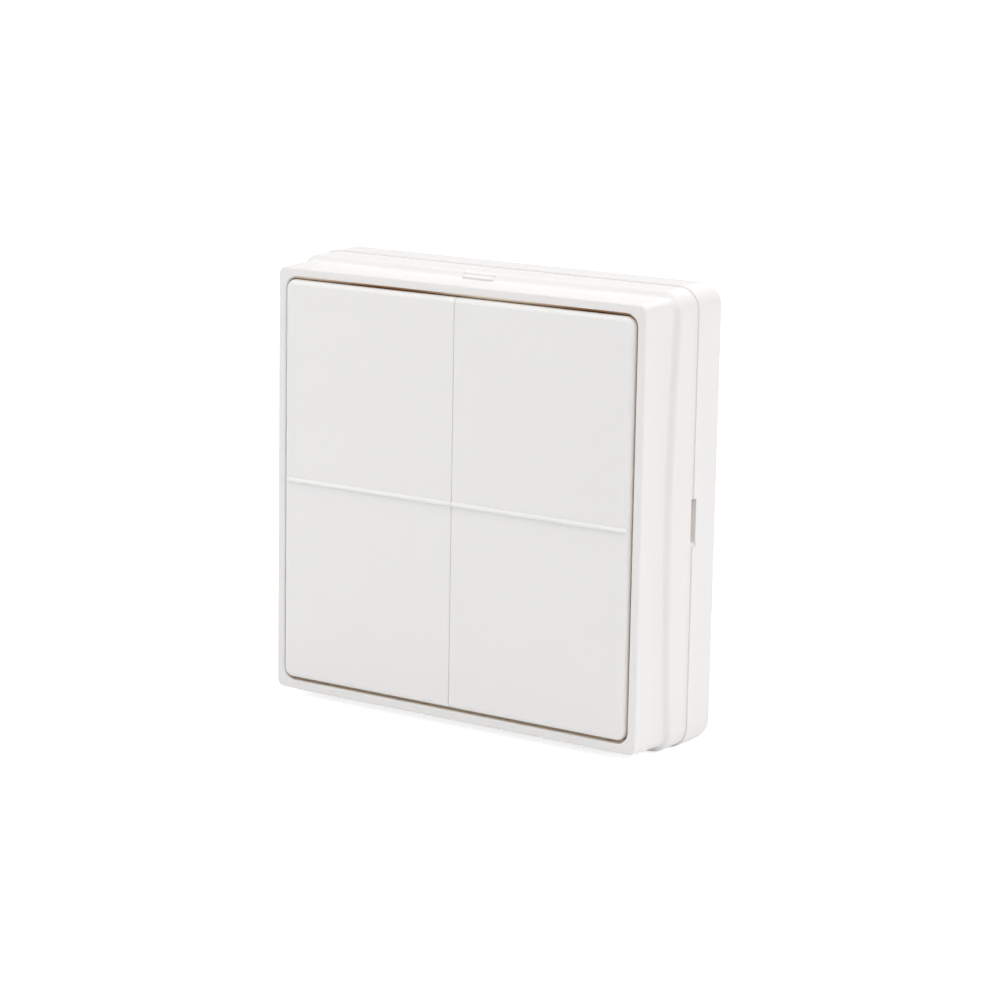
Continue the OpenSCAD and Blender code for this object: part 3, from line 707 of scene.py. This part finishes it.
def makeCamera(spec):
    a, e, roll = (math.radians(spec[k]) for k in ("azimuth", "elevation", "roll"))
    back = Vector((math.sin(a) * math.cos(e), -math.cos(a) * math.cos(e), math.sin(e)))
    right = (-back).cross(Vector((0, 0, 1))).normalized()
    up = right.cross(-back)
    tiltedRight = right * math.cos(roll) + up * math.sin(roll)
    tiltedUp = up * math.cos(roll) - right * math.sin(roll)
    lens = bpy.data.cameras.new("photoCamera")
    lens.sensor_width = spec["sensor"]
    lens.lens = lens.sensor_width * spec["focalPixels"] / spec["frame"]
    lens.clip_start, lens.clip_end = spec["clip"]
    camera = bpy.data.objects.new("photoCamera", lens)
    bpy.context.scene.collection.objects.link(camera)
    place = Matrix((tiltedRight, tiltedUp, back)).transposed().to_4x4()
    place.translation = (Vector(spec["target"]) + back * spec["distance"]) * mm
    camera.matrix_world = place
    bpy.context.scene.camera = camera


# Stage: a white floor that keeps its shadow, and soft studio lights, placed in metres
stageSpec = {"floorSize": 12.0, "floorTone": (0.92, 0.92, 0.92, 1), "floorRoughness": 0.9,
             "glowTone": (1, 1, 1, 1), "nearGlow": 0.7, "farGlow": 1.0, "nearAt": 0.12, "farAt": 0.7,
             "worldTone": (1, 1, 1, 1), "world": 0.2}
lightSpecs = {
    "frontLeft": {"at": (-0.32, -0.4, 0.42), "size": 0.4, "watts": 1.2},
    "frontRight": {"at": (0.7, -0.7, 0.9), "size": 1.1, "watts": 1.9},
    "overhead": {"at": (-0.1, -0.1, 0.5), "size": 0.4, "watts": 0.76},
    "overheadBack": {"at": (0, 0.9, 1.0), "size": 1.4, "watts": 6.9},
    "upperRight": {"at": (0.9, -0.1, 1.0), "size": 1.4, "watts": 9.0},
    "right": {"at": (1.3, 0.0, 0.3), "size": 1.2, "watts": 1.9},
    "left": {"at": (-1.3, -0.1, 0.4), "size": 1.2, "watts": 1.45},
}


def backdropRays(tree):
    # 1 for what the camera sees, directly, in a reflection or through glass
    path = addNode(tree, "ShaderNodeLightPath")
    first = addNode(tree, "ShaderNodeMath", operation="MAXIMUM")
    either = addNode(tree, "ShaderNodeMath", operation="MAXIMUM")
    tree.links.new(path.outputs["Is Camera Ray"], first.inputs[0])
    tree.links.new(path.outputs["Is Glossy Ray"], first.inputs[1])
    tree.links.new(first.outputs["Value"], either.inputs[0])
    tree.links.new(path.outputs["Is Transmission Ray"], either.inputs[1])
    return either.outputs["Value"]


def floorFinish(spec):
    mat, tree, shader = nodeTree("floorWhite")
    shader.inputs["Base Color"].default_value = spec["floorTone"]
    shader.inputs["Roughness"].default_value = spec["floorRoughness"]
    shader.inputs["Emission Color"].default_value = spec["glowTone"]
    # Faint glow for the camera alone, which grows away from the object and leaves its shadow
    coords = addNode(tree, "ShaderNodeTexCoord")
    away = addNode(tree, "ShaderNodeVectorMath", operation="LENGTH")
    reach = addNode(tree, "ShaderNodeMapRange", interpolation_type="SMOOTHSTEP")
    reach.inputs["From Min"].default_value = spec["nearAt"]
    reach.inputs["From Max"].default_value = spec["farAt"]
    reach.inputs["To Min"].default_value = spec["nearGlow"]
    reach.inputs["To Max"].default_value = spec["farGlow"]
    glow = addNode(tree, "ShaderNodeMath", operation="MULTIPLY")
    tree.links.new(coords.outputs["Object"], away.inputs[0])
    tree.links.new(away.outputs["Value"], reach.inputs["Value"])
    tree.links.new(backdropRays(tree), glow.inputs[0])
    tree.links.new(reach.outputs["Result"], glow.inputs[1])
    tree.links.new(glow.outputs["Value"], shader.inputs["Emission Strength"])
    return mat


def makeFloor(spec):
    bm = bmesh.new()
    bmesh.ops.create_grid(bm, x_segments=2, y_segments=2, size=spec["floorSize"] / 2)
    bmesh.ops.translate(bm, verts=bm.verts, vec=(0, 0, cadBox[0][2]))
    mesh = bpy.data.meshes.new("floor")
    bm.to_mesh(mesh)
    bm.free()
    floor = bpy.data.objects.new("floor", mesh)
    bpy.context.scene.collection.objects.link(floor)
    mesh.materials.append(floorFinish(spec))


def makeWorld(spec):
    world = bpy.data.worlds.new("studio")
    world.use_nodes = True
    sky = world.node_tree.nodes["Background"]
    sky.inputs["Color"].default_value = spec["worldTone"]
    sky.inputs["Strength"].default_value = spec["world"]
    bpy.context.scene.world = world


def makeLights(specs):
    for name, light in specs.items():
        lamp = bpy.data.lights.new(name, "AREA")
        lamp.size = light["size"]
        lamp.energy = light["watts"]
        obj = bpy.data.objects.new(name, lamp)
        obj.location = light["at"]
        obj.rotation_euler = (-Vector(light["at"])).to_track_quat("-Z", "Y").to_euler()
        obj.visible_camera = False
        bpy.context.scene.collection.objects.link(obj)


makeCamera(cameraSpec)
makeFloor(stageSpec)
makeWorld(stageSpec)
makeLights(lightSpecs)
bpy.context.scene.view_settings.view_transform = "Standard"
print("camera and stage made")
